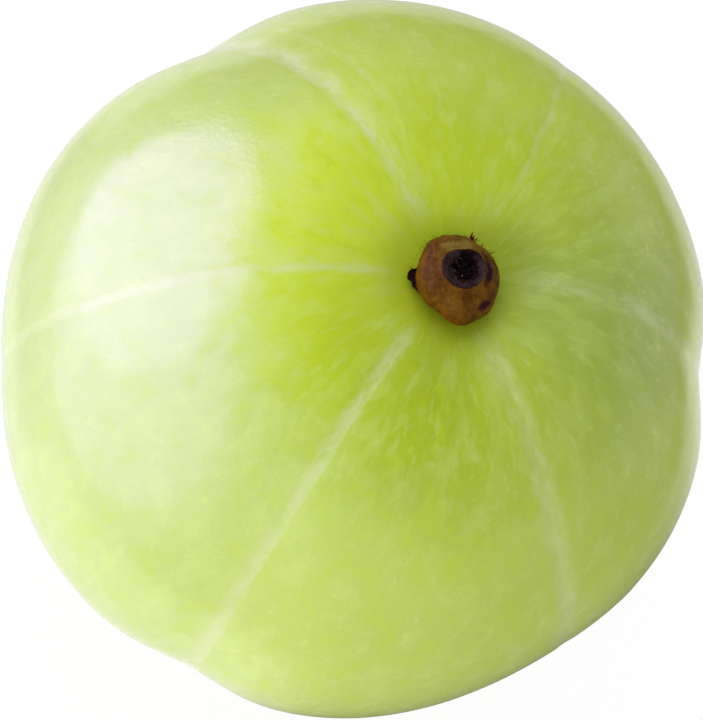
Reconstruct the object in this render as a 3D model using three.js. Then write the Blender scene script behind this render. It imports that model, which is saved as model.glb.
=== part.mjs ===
// Indian gooseberry: one picked fruit, resting on its blossom end with the stalk end up.
// Units are millimetres. +Z runs up the fruit's core, and the origin is the middle of the flat spot
// that the fruit rests on. Bearings are degrees about +Z, counted from +X towards +Y. Polar angles
// are degrees from the stalk end (0) over the belly (90) to the blossom end (180).
//
// The fruit is a lobed, slightly squat ball. Six septa run from the stalk basin down to the blossom
// end, every second one a deeper crease, and the flesh swells into a lobe between each two. A short
// woody stalk stub stands in the basin, with the dried tips of the calyx round its foot.

import * as THREE from "three";
import { mergeVertices } from "three/addons/utils/BufferGeometryUtils.js";

const { clamp, degToRad, euclideanModulo, lerp, radToDeg, smoothstep } = THREE.MathUtils;

// Driving dimensions of the fruit.
const BELLY_RADIUS = 18.5;
const POLE_HEIGHT = 16.1; // from the belly to each pole, before the basin and the flat spot
const STALK_FULLNESS = 0.875; // under 1 gives the stalk end broad shoulders
const BLOSSOM_FULLNESS = 1;
const BASIN = { depth: 2.6, width: 5.8 };
const FLAT_RISE = 0.45; // how far the flat spot lies above the blossom pole
const STALK_OFFSET = { x: 1.3, y: 1.9 }; // from the middle of the flat spot to the stalk
const OVAL = { stretch: 0.025, bearing: 100 };
const BELLY_HEIGHT = POLE_HEIGHT - FLAT_RISE;

// One entry for each septum: its bearing at the basin, the shoulder and the belly, how deep its
// crease is, and how far the lobe after it swells, both as a share of the radius.
const SEPTA = [
  { basin: 39, shoulder: 34, belly: 40, crease: 0.036, swell: 0 },
  { basin: 97, shoulder: 99, belly: 92, crease: 0.007, swell: 0.02 },
  { basin: 160, shoulder: 160, belly: 162, crease: 0.035, swell: 0.05 },
  { basin: 220, shoulder: 222, belly: 223, crease: 0.005, swell: 0.025 },
  { basin: 275, shoulder: 280, belly: 284, crease: 0.035, swell: 0.027 },
  { basin: 338, shoulder: 340, belly: 348, crease: 0.005, swell: 0.058 },
];
const STATION = { basin: 17, shoulder: 52, belly: 92 }; // polar angles of the stated bearings
const SEPTUM_BEND = { from: 9, to: 109 }; // outside these polar angles a septum runs straight
const CREASE_WIDTH = 10; // degrees of bearing
const LOBE_WIDTH = 28;

// Driving dimensions of the stalk stub: a knob with blunt corners and a hollow scar on top.
const STUB_FOOT_RADIUS = 1.55;
const STUB_HEIGHT = 2.35;
const STUB_PROFILE = [
  [0, 0],
  [STUB_FOOT_RADIUS, 0],
  [2.05, 0.35],
  [2.25, 0.85],
  [2.16, 1.4],
  [1.85, 1.95],
  [1.2, STUB_HEIGHT],
  [0.95, STUB_HEIGHT],
  [0.65, 2.0],
  [0, 1.9],
]; // radius and height, from the foot over the rim into the hollow of the scar
const STUB_SECTION = [
  { bearing: 28, reach: 1 },
  { bearing: 105, reach: 0.87 },
  { bearing: 160, reach: 0.94 },
  { bearing: 206, reach: 0.88 },
  { bearing: 245, reach: 0.92 },
  { bearing: 278, reach: 0.93 },
  { bearing: 322, reach: 1.16 },
  { bearing: 337, reach: 1.11 },
  { bearing: 352, reach: 1.13 },
]; // how far the section reaches at its corners and hollows, as a share of the profile's radius
const FOOT_GAP = 0.1;

// The calyx tips that are left, each a pointed flap. Start is its distance from the stalk's axis.
const CALYX_TIPS = [
  { bearing: 80, start: 2.1, length: 0.5, width: 0.7, lean: 22 },
  { bearing: 106, start: 2.05, length: 0.6, width: 0.6, lean: 24 },
  { bearing: 160, start: 2.1, length: 0.4, width: 0.9, lean: 24 },
  { bearing: 222, start: 1.95, length: 0.5, width: 1.3, lean: 20 },
];
const TIP_THICKNESS = 0.16;
const TIP_GAP = 0.08;

const skin = new THREE.MeshStandardMaterial({ color: 0xbdd25a, roughness: 0.35, metalness: 0 });
const bark = new THREE.MeshStandardMaterial({ color: 0x6b4512, roughness: 0.6, metalness: 0 });
const driedCalyx = new THREE.MeshStandardMaterial({ color: 0x1f120e, roughness: 0.8, metalness: 0 });

function named(name, geometry, material) {
  const mesh = new THREE.Mesh(geometry, material);
  mesh.name = name;
  return mesh;
}

// Keeps only the positions of a closed geometry, with its seams and poles merged.
function closed(geometry) {
  geometry.deleteAttribute("normal");
  geometry.deleteAttribute("uv");
  return mergeVertices(geometry);
}

// Moves each vertex of a geometry to where place(vertex) puts it.
function reshape(geometry, place) {
  const positions = geometry.attributes.position;
  const vertex = new THREE.Vector3();
  for (let i = 0; i < positions.count; i += 1) {
    place(vertex.fromBufferAttribute(positions, i));
    positions.setXYZ(i, vertex.x, vertex.y, vertex.z);
  }
  geometry.computeVertexNormals();
  return geometry;
}

// The shortest turn between two bearings, from -180 to 180.
function turn(from, to) {
  return euclideanModulo(to - from + 180, 360) - 180;
}

// A septum's bearing at a polar angle: the parabola through its three stated bearings.
function septumBearing(septum, polar) {
  const { basin, shoulder, belly } = STATION;
  const at = clamp(polar, SEPTUM_BEND.from, SEPTUM_BEND.to);
  const basinShare = ((at - shoulder) * (at - belly)) / ((basin - shoulder) * (basin - belly));
  const shoulderShare = ((at - basin) * (at - belly)) / ((shoulder - basin) * (shoulder - belly));
  const bellyShare = 1 - basinShare - shoulderShare;
  return septum.basin * basinShare + septum.shoulder * shoulderShare + septum.belly * bellyShare;
}

// How far the surface stands proud of a round one, as a share of the radius.
function lobing(polar, bearing) {
  let share = OVAL.stretch * Math.cos(2 * degToRad(bearing - OVAL.bearing));
  SEPTA.forEach((septum, i) => {
    const next = SEPTA[(i + 1) % SEPTA.length];
    const middle = septum.shoulder + turn(septum.shoulder, next.shoulder) / 2;
    const fromCrease = turn(septumBearing(septum, polar), bearing) / CREASE_WIDTH;
    const fromMiddle = turn(middle, bearing) / LOBE_WIDTH;
    share -= septum.crease * Math.exp(-fromCrease * fromCrease);
    share += septum.swell * Math.exp(-fromMiddle * fromMiddle);
  });
  return share;
}

function basinDrop(radius) {
  return BASIN.depth * Math.exp(-((radius / BASIN.width) ** 2));
}

// Puts a vertex of a unit ball on the surface of the fruit.
function ontoFruit(vertex) {
  const bearing = Math.atan2(vertex.y, vertex.x);
  const polar = Math.acos(clamp(vertex.z, -1, 1));
  const upper = (1 + Math.cos(polar)) / 2;
  const reach = Math.sin(polar) ** lerp(BLOSSOM_FULLNESS, STALK_FULLNESS, upper);
  const drop = vertex.z > 0 ? basinDrop(reach * BELLY_RADIUS) : 0;
  const proud = reach * lobing(radToDeg(polar), radToDeg(bearing));
  const radius = reach * BELLY_RADIUS * (1 + proud);
  vertex.set(
    radius * Math.cos(bearing) + STALK_OFFSET.x * upper ** 2,
    radius * Math.sin(bearing) + STALK_OFFSET.y * upper ** 2,
    Math.max(BELLY_HEIGHT + POLE_HEIGHT * vertex.z - drop, 0),
  );
}

// Height of the basin's floor at a distance from the stalk's axis.
function floorHeight(radius) {
  const polar = Math.asin((radius / BELLY_RADIUS) ** (1 / STALK_FULLNESS));
  return BELLY_HEIGHT + POLE_HEIGHT * Math.cos(polar) - basinDrop(radius);
}

function makeFruit() {
  const ball = new THREE.SphereGeometry(1, 72, 36);
  ball.rotateX(Math.PI / 2);
  return named("fruit", reshape(closed(ball), ontoFruit), skin);
}

// How far the stub's section reaches at a bearing, eased from one corner or hollow to the next.
function sectionReach(bearing) {
  const after = STUB_SECTION.findIndex((corner) => corner.bearing > bearing);
  const end = STUB_SECTION.at(Math.max(after, 0));
  const start = STUB_SECTION.at(Math.max(after, 0) - 1);
  const turned = euclideanModulo(bearing - start.bearing, 360);
  const share = turned / euclideanModulo(end.bearing - start.bearing, 360);
  return lerp(start.reach, end.reach, smoothstep(share, 0, 1));
}

// Gives a round vertex of the stub its cornered section.
function ontoStub(vertex) {
  const bearing = euclideanModulo(radToDeg(Math.atan2(vertex.y, vertex.x)), 360);
  const reach = sectionReach(bearing);
  vertex.x *= reach;
  vertex.y *= reach;
}

function makeStub() {
  const outline = STUB_PROFILE.map(([radius, height]) => new THREE.Vector2(radius, height));
  const turned = new THREE.LatheGeometry(outline, 32);
  turned.rotateX(Math.PI / 2);
  const stub = named("stalk_stub", reshape(closed(turned), ontoStub), bark);
  stub.position.set(STALK_OFFSET.x, STALK_OFFSET.y, floorHeight(STUB_FOOT_RADIUS) + FOOT_GAP);
  return stub;
}

function makeCalyxTip(tip, number) {
  const outline = new THREE.Shape();
  outline.moveTo(0, -tip.width / 2);
  outline.quadraticCurveTo(tip.length / 2, -tip.width / 2, tip.length, 0);
  outline.quadraticCurveTo(tip.length / 2, tip.width / 2, 0, tip.width / 2);
  const flap = new THREE.ExtrudeGeometry(outline, {
    depth: TIP_THICKNESS,
    bevelEnabled: false,
    curveSegments: 4,
  });
  const mesh = named(`calyx_tip_${number}`, closed(flap), driedCalyx);
  mesh.position.set(tip.start, 0, floorHeight(tip.start) + TIP_GAP);
  mesh.rotation.y = -degToRad(tip.lean);
  const place = new THREE.Group();
  place.position.set(STALK_OFFSET.x, STALK_OFFSET.y, 0);
  place.rotation.z = degToRad(tip.bearing);
  place.add(mesh);
  return place;
}

const gooseberry = new THREE.Group();
gooseberry.add(makeFruit(), makeStub());
CALYX_TIPS.forEach((tip, i) => gooseberry.add(makeCalyxTip(tip, i + 1)));

export default gooseberry;
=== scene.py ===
"""Indian gooseberry: the looks of one picked fruit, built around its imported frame.

Lengths are metres, apart from the tables of the stub and the calyx, which are millimetres from the
stalk's axis. +Z runs up the fruit's core to the stalk end, and the origin is the middle of the flat
spot that the fruit rests on. Bearings are degrees about +Z, counted from +X towards +Y. Polar angles
are degrees from the stalk end (0) over the belly (90) to the blossom end (180).
"""

import math
from typing import NamedTuple

import bpy
import numpy as np
from mathutils import Matrix, Vector, noise


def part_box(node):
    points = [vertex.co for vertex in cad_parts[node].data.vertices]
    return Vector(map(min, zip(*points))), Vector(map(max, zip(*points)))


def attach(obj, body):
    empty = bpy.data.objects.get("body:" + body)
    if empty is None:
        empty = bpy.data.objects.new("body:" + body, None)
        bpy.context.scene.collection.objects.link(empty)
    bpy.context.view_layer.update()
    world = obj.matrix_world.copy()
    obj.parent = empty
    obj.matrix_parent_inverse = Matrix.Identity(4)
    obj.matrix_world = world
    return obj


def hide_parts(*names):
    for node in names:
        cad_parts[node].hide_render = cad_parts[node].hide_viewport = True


bl_info = {
    "name": "Indian Gooseberry",
    "version": (1, 0, 0),
    "blender": (4, 5, 0),
    "location": "3D View > Sidebar > Gooseberry",
    "description": "Grows a lobed green fruit with its stalk stub and dried calyx, and lights it",
    "category": "Add Mesh",
}

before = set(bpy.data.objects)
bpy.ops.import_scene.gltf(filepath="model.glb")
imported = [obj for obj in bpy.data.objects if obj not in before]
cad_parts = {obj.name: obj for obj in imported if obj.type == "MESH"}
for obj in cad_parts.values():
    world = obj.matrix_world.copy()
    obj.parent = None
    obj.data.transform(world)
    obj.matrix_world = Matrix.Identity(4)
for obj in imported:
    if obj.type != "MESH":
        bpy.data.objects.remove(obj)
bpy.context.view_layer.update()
MM = 0.001
DEGREES = 180 / math.pi  # in a radian


# ---------------------------------------------------------------- the fruit's own dimensions


class PaleLine(NamedTuple):
    """The look of a septum's pale line. Before means towards smaller bearings."""

    width: float
    blur: tuple  # how far its edges fade out, before and after
    stem: float  # strength near the stalk
    belly: float  # strength from the shoulder down
    veil: tuple  # width of the faint veil beside it, before and after
    veil_strength: float
    echo: tuple = (0.0, 0.0, 0.0, 1.0)  # thin second line: offset, strength, polar angle, spread


class Septum(NamedTuple):
    """One septum: a crease that runs from the basin to the blossom end under a pale line."""

    basin: float  # bearings at three polar angles
    shoulder: float
    belly: float
    crease: float  # depth, as a share of the radius
    swell: float  # how far the lobe after it stands proud, as a share of the radius
    line: PaleLine


SEPTA = (
    Septum(
        39, 34, 40, 0.036, 0.000,
        PaleLine(0.60 * MM, (0.45 * MM, 0.60 * MM), 0.20, 0.28, (1.5 * MM, 1.2 * MM), 0.12),
    ),
    Septum(
        97, 99, 92, 0.007, 0.020,
        PaleLine(
            0.20 * MM, (0.16 * MM, 0.22 * MM), 0.24, 0.22, (0.6 * MM, 0.8 * MM), 0.06,
            (-0.50 * MM, 0.26, 17, 6),
        ),
    ),
    Septum(
        160, 160, 162, 0.035, 0.050,
        PaleLine(
            0.90 * MM, (0.70 * MM, 0.24 * MM), 0.26, 0.50, (1.8 * MM, 0.3 * MM), 0.34,
            (-2.00 * MM, 0.75, 50, 15),
        ),
    ),
    Septum(
        220, 222, 223, 0.005, 0.025,
        PaleLine(0.44 * MM, (0.22 * MM, 0.20 * MM), 0.32, 0.50, (0.6 * MM, 0.6 * MM), 0.12),
    ),
    Septum(
        275, 280, 284, 0.035, 0.027,
        PaleLine(0.60 * MM, (0.45 * MM, 0.18 * MM), 0.38, 0.38, (1.3 * MM, 0.9 * MM), 0.18),
    ),
    Septum(
        338, 340, 348, 0.005, 0.058,
        PaleLine(0.75 * MM, (0.60 * MM, 0.60 * MM), 0.32, 0.24, (1.2 * MM, 1.3 * MM), 0.10),
    ),
)
STATIONS = (17, 52, 92)  # polar angles of the three stated bearings
SEPTUM_BEND = (9.0, 109.0)  # outside these polar angles a septum runs straight
CREASE_WIDTH = 10  # degrees of bearing
LOBE_WIDTH = 28
STALK_FULLNESS = 0.875  # under 1 gives the stalk end broad shoulders
STALK_OFFSET = Vector((1.3, 1.9, 0)) * MM
OVAL = {"stretch": 0.025, "bearing": 100}
STUB_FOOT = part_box("stalk_stub")[0].z


# ------------------------------------------------------------------------------- node graphs


def math_operator(operation, reflected=False):
    """A method of Wire that stands for a Python operator and adds a Math node."""
    def add_node(self, value):
        values = (value, self) if reflected else (self, value)
        return self.graph.math(operation, *values)

    return add_node


class Wire:
    """A socket's value in a node graph. Arithmetic on wires adds Math nodes to the graph."""

    def __init__(self, graph, socket):
        self.graph = graph
        self.socket = socket

    def other(self, name):
        """Another output of the node that this wire comes from."""
        return Wire(self.graph, find_socket(self.socket.node.outputs, name))

    def __neg__(self):
        return self.graph.math("MULTIPLY", self, -1.0)

    __add__ = math_operator("ADD")
    __radd__ = math_operator("ADD", reflected=True)
    __sub__ = math_operator("SUBTRACT")
    __rsub__ = math_operator("SUBTRACT", reflected=True)
    __mul__ = math_operator("MULTIPLY")
    __rmul__ = math_operator("MULTIPLY", reflected=True)
    __truediv__ = math_operator("DIVIDE")
    __rtruediv__ = math_operator("DIVIDE", reflected=True)
    __pow__ = math_operator("POWER")
    __rpow__ = math_operator("POWER", reflected=True)


def find_socket(sockets, key):
    """A socket by its number, its identifier or its name."""
    if isinstance(key, int):
        return sockets[key]
    return next((s for s in sockets if s.identifier == key), None) or sockets[key]


class Graph:
    """Fills a shader or geometry node tree from Python expressions."""

    def __init__(self, tree):
        self.tree = tree
        tree.nodes.clear()

    def node(self, kind, settings, inputs, output=0):
        """Adds a node, sets its settings, then its sockets, and returns one of its outputs."""
        made = self.tree.nodes.new(kind)
        for name, value in settings.items():
            setattr(made, name, value)
        for key, value in inputs.items():
            socket = find_socket(made.inputs, key)
            if isinstance(value, Wire):
                self.tree.links.new(value.socket, socket)
            else:
                socket.default_value = value
        if not made.outputs:
            return None
        return Wire(self, find_socket(made.outputs, output))

    def math(self, operation, *values):
        return self.node("ShaderNodeMath", {"operation": operation}, dict(enumerate(values)))

    def vector(self, operation, *values):
        settings = {"operation": operation}
        return self.node("ShaderNodeVectorMath", settings, dict(enumerate(values)))

    def scaled(self, vector, factor):
        inputs = {"Vector": vector, "Scale": factor}
        return self.node("ShaderNodeVectorMath", {"operation": "SCALE"}, inputs)

    def combine(self, x, y, z):
        return self.node("ShaderNodeCombineXYZ", {}, {"X": x, "Y": y, "Z": z})

    def split(self, vector):
        x = self.node("ShaderNodeSeparateXYZ", {}, {"Vector": vector})
        return x, x.other("Y"), x.other("Z")

    def mix(self, factor, first, second):
        """Goes from the first colour to the second as factor goes from 0 to 1."""
        settings = {"data_type": "RGBA", "clamp_factor": True}
        inputs = {"Factor_Float": factor, "A_Color": first, "B_Color": second}
        return self.node("ShaderNodeMix", settings, inputs, "Result_Color")

    def ease(self, value, start, end, low=0.0, high=1.0):
        """Goes smoothly from low to high as value goes from start to end."""
        inputs = {"Value": value, "From Min": start, "From Max": end}
        inputs |= {"To Min": low, "To Max": high}
        return self.node("ShaderNodeMapRange", {"interpolation_type": "SMOOTHSTEP"}, inputs)

    def bell(self, value, width):
        """1 at value 0, falling away to both sides over width."""
        share = value / width
        return self.math("EXPONENT", -(share * share))

    def around(self, x, y):
        """The distance of a place from the middle, and its bearing."""
        return self.math("SQRT", x * x + y * y), self.math("ARCTAN2", y, x) * DEGREES

    def turn(self, bearing, middle):
        """Degrees from a middle bearing round to another one, from -180 to 180."""
        return self.math("WRAP", bearing - middle, 180.0, -180.0)

    def blend(self, factor, first, second):
        """Goes from the first vector to the second as factor goes from 0 to 1."""
        inputs = {"Factor_Float": factor, "A_Vector": first, "B_Vector": second}
        return self.node("ShaderNodeMix", {"data_type": "VECTOR"}, inputs, "Result_Vector")

    def stored(self, name, output="Vector"):
        """A value that is stored on the mesh, for a material."""
        return self.node("ShaderNodeAttribute", {"attribute_name": name}, {}, output)

    def noise(self, vector, size, detail=2.0, roughness=0.5, warp=0.0, seed=0.0):
        """Noise around 0.5 in cells of this size. Seed moves it to another part of the pattern."""
        moved = self.vector("ADD", vector, (seed, seed * 1.7, seed * 0.6))
        inputs = {"Vector": moved, "Scale": 1 / size, "Detail": detail, "Roughness": roughness}
        return self.node("ShaderNodeTexNoise", {}, inputs | {"Distortion": warp})

    def bump(self, height, strength, distance):
        inputs = {"Height": height, "Strength": strength, "Distance": distance}
        return self.node("ShaderNodeBump", {}, inputs)

    def painted(self, base, coats):
        """A base colour under coats, each with its strength and its colour."""
        colour = rgba(base)
        for strength, coat in coats:
            colour = self.mix(strength, colour, rgba(coat))
        return colour


def rgba(colour):
    return (*colour, 1.0)


def new_material(name):
    """A material with an empty graph."""
    material = bpy.data.materials.new(name)
    material.use_nodes = True
    return material, Graph(material.node_tree)


def surface(graph, sockets):
    """Ends a material's graph in a Principled shader with these socket values."""
    shader = graph.node("ShaderNodeBsdfPrincipled", {}, sockets)
    graph.node("ShaderNodeOutputMaterial", {}, {"Surface": shader})


def grow(name, shape, sizes, material):
    """A piece from a geometry tree with these sizes as inputs. Shape makes its geometry."""
    kinds = {int: "NodeSocketInt", float: "NodeSocketFloat"}
    tree = bpy.data.node_groups.new(name, "GeometryNodeTree")
    tree.interface.new_socket("Geometry", in_out="OUTPUT", socket_type="NodeSocketGeometry")
    items = {}
    for label, size in sizes.items():
        kind = kinds[type(size)]
        items[label] = tree.interface.new_socket(label, in_out="INPUT", socket_type=kind)
    graph = Graph(tree)
    first = graph.node("NodeGroupInput", {}, {})
    geometry = shape(graph, {label: first.other(label) for label in sizes})
    real = graph.node("GeometryNodeRealizeInstances", {}, {"Geometry": geometry})
    smooth = graph.node("GeometryNodeSetShadeSmooth", {}, {"Geometry": real})
    paint = {"Geometry": smooth, "Material": material}
    painted = graph.node("GeometryNodeSetMaterial", {}, paint)
    graph.node("NodeGroupOutput", {}, {"Geometry": painted})

    carrier = bpy.data.objects.new(name + "_carrier", bpy.data.meshes.new(name + "_carrier"))
    bpy.context.scene.collection.objects.link(carrier)
    modifier = carrier.modifiers.new("Grow", "NODES")
    modifier.node_group = tree
    for label, size in sizes.items():
        modifier[items[label].identifier] = size
    evaluated = carrier.evaluated_get(bpy.context.evaluated_depsgraph_get())
    mesh = bpy.data.meshes.new_from_object(evaluated)
    bpy.data.objects.remove(carrier)
    if not mesh.polygons:
        raise RuntimeError(f"the geometry tree of {name} made no faces")
    mesh.name = name
    return link_object(name, mesh)


# ----------------------------------------------------------------------- shapes and measures


class Side(NamedTuple):
    """A side of the fruit or the stub: its middle, and how far it fades out to both sides."""

    bearing: float
    spread: float


def bump_of(distance, width):
    return math.exp(-((distance / width) ** 2))


def smooth_step(value, start, end):
    """Goes smoothly from 0 to 1 as value goes from start to end."""
    share = min(max((value - start) / (end - start), 0.0), 1.0)
    return share * share * (3 - 2 * share)


def bearing_gap(first, second):
    """The angle between two bearings, from 0 to 180."""
    return abs((first - second + 180) % 360 - 180)


def wrinkle(point, scale, seed):
    """Signed noise at a point, with cells of the given size."""
    return noise.fractal(Vector(point) / scale + Vector((seed, seed, seed)), 1.0, 2.0, 3)


def heading_vectors(bearing, rise):
    """Unit vectors ahead, aside and over, for a bearing and an angle above level in degrees."""
    turn, lift = math.radians(bearing), math.radians(rise)
    level = math.cos(lift)
    ahead = Vector((math.cos(turn) * level, math.sin(turn) * level, math.sin(lift)))
    aside = Vector((-math.sin(turn), math.cos(turn), 0))
    return ahead, aside, ahead.cross(aside)


def spline(points, count):
    """Count points on a smooth curve through the given ones."""
    points = np.array([points[0], *points, points[-1]], float)
    spans = len(points) - 3
    made = []
    for t in np.linspace(0, spans, count):
        i = min(int(t), spans - 1)
        a, b, c, d = points[i : i + 4]
        u = t - i
        bend = (2 * a - 5 * b + 4 * c - d) * u**2 + (3 * b - a - 3 * c + d) * u**3
        made.append((2 * b + (c - a) * u + bend) / 2)
    return np.array(made)


def link_object(name, data):
    """A new object in the scene."""
    made = bpy.data.objects.new(name, data)
    bpy.context.scene.collection.objects.link(made)
    return made


def mesh_object(name, vertices, faces, material):
    """A smooth-shaded mesh object at the origin, its place in its mesh."""
    mesh = bpy.data.meshes.new(name)
    mesh.from_pydata(vertices, [], faces)
    mesh.shade_smooth()
    mesh.materials.append(material)
    return link_object(name, mesh)


def lathe_faces(rings, segments):
    """Faces that close rings of vertices between a first and a last single vertex."""
    def at(ring, i):
        return 1 + ring * segments + i % segments

    last = 1 + rings * segments
    faces = [(0, at(0, i), at(0, i + 1)) for i in range(segments)]
    for ring in range(rings - 1):
        for i in range(segments):
            faces.append((at(ring, i), at(ring + 1, i), at(ring + 1, i + 1), at(ring, i + 1)))
    faces += [(last, at(rings - 1, i + 1), at(rings - 1, i)) for i in range(segments)]
    return faces


def closed_sheet(columns, rows, place, thickness):
    """Vertices and faces of a thin sheet that closes along its edges. Place gives its middle."""
    vertices, faces, number = [], [], {}
    for side in (1, -1):
        for i in range(columns + 1):
            for j in range(rows + 1):
                edge = i in (0, columns) or j in (0, rows)
                if edge and side == -1:
                    number[side, i, j] = number[1, i, j]
                    continue
                number[side, i, j] = len(vertices)
                lift = 0 if edge else side * thickness / 2
                vertices.append(place(i / columns, j / rows) + Vector((0, 0, lift)))
    for side in (1, -1):
        for i in range(columns):
            for j in range(rows):
                around = [(i, j), (i, j + 1), (i + 1, j + 1), (i + 1, j)]
                if (2 * i < columns) != (2 * j < rows):
                    around = around[1:] + around[:1]
                a, b, c, d = (number[side, *corner] for corner in around)
                faces += [[a, b, c][::side], [a, c, d][::side]]
    return vertices, faces


# ------------------------------------------------------------------------ places on the skin


class SkinPlace:
    """Where a point lies on the skin, as wires: shares of the radius, polar angle and bearing."""

    def __init__(self, graph, place, belly_radius):
        self.graph = graph
        self.belly_radius = belly_radius
        x, y, self.polar = graph.split(place)
        reach, self.bearing = graph.around(x, y)
        self.reach = graph.math("MAXIMUM", reach, 1e-4)
        self.east = x / self.reach
        self.north = y / self.reach

    def turn(self, middle):
        return self.graph.turn(self.bearing, middle)

    def facing(self, side):
        """1 in the middle of a side, falling away over its spread."""
        return self.graph.bell(self.turn(side.bearing), side.spread)

    def septum_bearing(self, septum):
        """A septum's bearing at this polar angle: the parabola through its three bearings."""
        at = self.graph.math("MAXIMUM", self.polar, SEPTUM_BEND[0])
        at = self.graph.math("MINIMUM", at, SEPTUM_BEND[1])
        stated = (septum.basin, septum.shoulder, septum.belly)
        curve, slope, start = (float(v) for v in np.polyfit(STATIONS, stated, 2))
        return (at * curve + slope) * at + start

    def turn_from(self, septum):
        return self.turn(self.septum_bearing(septum))

    def offset_from(self, septum):
        """Distance along the skin from a septum, negative on the side of smaller bearings."""
        return self.turn_from(septum) * self.reach * (self.belly_radius / DEGREES)

    def pattern(self, around, along, **settings):
        """Noise that follows the skin, in cells of these sizes at the belly."""
        across = (self.reach * 0.6 + 0.4) * (self.belly_radius / around)
        down = self.polar * (self.belly_radius / DEGREES / along)
        grain = self.graph.combine(self.east * across, self.north * across, down)
        return self.graph.noise(grain, 1.0, **settings)


def lobing(place):
    """How far the skin stands proud of a round one, as a share of the radius."""
    graph = place.graph
    double_turn = (place.bearing - OVAL["bearing"]) * (2 / DEGREES)
    share = graph.math("COSINE", double_turn) * OVAL["stretch"]
    for septum, following in zip(SEPTA, SEPTA[1:] + SEPTA[:1]):
        width = (following.shoulder - septum.shoulder) % 360
        middle = septum.shoulder + width / 2
        share -= graph.bell(place.turn_from(septum), CREASE_WIDTH) * septum.crease
        share += graph.bell(place.turn(middle), LOBE_WIDTH) * septum.swell
    return share


# ------------------------------------------------------------------------------------- fruit


FRUIT_SEGMENTS = 400
FRUIT_RINGS = 220
FLAT_ROUNDING = 0.12 * MM
BLOSSOM_DIMPLE = {"depth": 0.45 * MM, "width": 6.0}  # width in degrees of polar angle
GROOVE = {"depth": 0.05 * MM, "width": 0.45 * MM}
PLEATS = {"depth": 0.06 * MM, "around": 1.2 * MM, "along": 9 * MM}
DENTS = {"depth": 0.07 * MM, "size": 3.2 * MM}
BELLY_INSET = 0.07 * MM  # keeps the relief inside the box that the belly touches
ECHO_WIDTH = 0.20 * MM
LINE_WANDER = 0.55 * MM
LINE_THINNEST = 0.65  # share of a line's width near the stalk

# Polar angles at which a feature of the skin starts and at which it is in full.
PLEAT_ZONE = (34, 10)
GROOVE_ZONE = (8, 18)
INSET_ZONE = (165, 140)
LINE_ENDS = (5, 12)
LINE_SPREAD = (10, 60)
LINE_TO_SHOULDER = (18, 52)
FIBRE_ENDS = (4, 9)
FIBRE_ZONE = (66, 26)
PAINTED_SHADE_ZONE = (48, 30)
PAINTED_LIGHT_ZONE = (46, 30)
BELLY_ZONE = (20, 66)
MILK_AND_SHEEN_ZONE = (20, 42)
FLECK_ZONE = (16, 34)
BASIN_SHADE_ZONE = (12, 5)
BLOSSOM_ZONE = (176.5, 178.2)
LINE_GAP = (25, 17)  # the same in degrees of bearing, for the space beside a line

# Sides of the fruit whose colour differs, most of them with painted light or shade.
# Painted shade on the shaded side, partly greyer flesh.
DULL_AND_SHADE_SIDE = Side(32, 56)
# Painted light: lighter green on the side towards the lamps.
PAINTED_LIGHT_SIDE = Side(195, 45)
# Painted shade near the stalk on this side.
PAINTED_SHADE_SIDE = Side(302, 32)
# Painted sheen of the window, partly milky flesh.
MILK_AND_SHEEN_SIDE = Side(222, 54)


def fruit_shape(g, sizes):
    """The fruit's geometry: a unit ball that is drawn out to the lobed shape and its relief."""
    ball_inputs = {"Segments": sizes["Segments"], "Rings": sizes["Rings"], "Radius": 1.0}
    ball = g.node("GeometryNodeMeshUVSphere", {}, ball_inputs)
    x, y, z = g.split(g.node("GeometryNodeInputPosition", {}, {}))
    height = g.math("MAXIMUM", g.math("MINIMUM", z, 1.0), -1.0)
    polar = g.math("ARCCOSINE", height)
    upper = (height + 1.0) / 2.0
    fullness = 1.0 + upper * (STALK_FULLNESS - 1.0)
    reach = g.math("SINE", polar) ** fullness
    bearing = g.math("ARCTAN2", y, x)
    east, north = g.math("COSINE", bearing), g.math("SINE", bearing)
    spot = g.combine(reach * east, reach * north, polar * DEGREES)
    place = SkinPlace(g, spot, sizes["Belly Radius"])
    marked = store_vector(g, ball, "place", spot)
    for name, value in nearest_line(place).items():
        marked = store_vector(g, marked, name, value)

    radius = reach * sizes["Belly Radius"]
    drop = g.bell(radius, sizes["Basin Width"]) * sizes["Basin Depth"]
    drop = drop * g.math("GREATER_THAN", height, 0.0)
    radius = radius * (1.0 + reach * lobing(place))
    level = (height + 1.0) * sizes["Pole Height"] - sizes["Flat Rise"] - drop
    level = (level + g.math("SQRT", level * level + FLAT_ROUNDING * FLAT_ROUNDING)) / 2.0
    lean = upper * upper
    spot = g.combine(
        radius * east + lean * STALK_OFFSET.x, radius * north + lean * STALK_OFFSET.y, level
    )
    shaped = g.node("GeometryNodeSetPosition", {}, {"Geometry": marked, "Position": spot})

    named = {"data_type": "FLOAT_VECTOR"}
    kept = g.node("GeometryNodeInputNamedAttribute", named, {"Name": "place"})
    relief = skin_relief(SkinPlace(g, kept, sizes["Belly Radius"]))
    outward = g.scaled(g.node("GeometryNodeInputNormal", {}, {}), relief)
    return g.node("GeometryNodeSetPosition", {}, {"Geometry": shaped, "Offset": outward})


def store_vector(graph, geometry, name, value):
    settings = {"data_type": "FLOAT_VECTOR", "domain": "POINT"}
    inputs = {"Geometry": geometry, "Name": name, "Value": value}
    return graph.node("GeometryNodeStoreNamedAttribute", settings, inputs)


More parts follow.
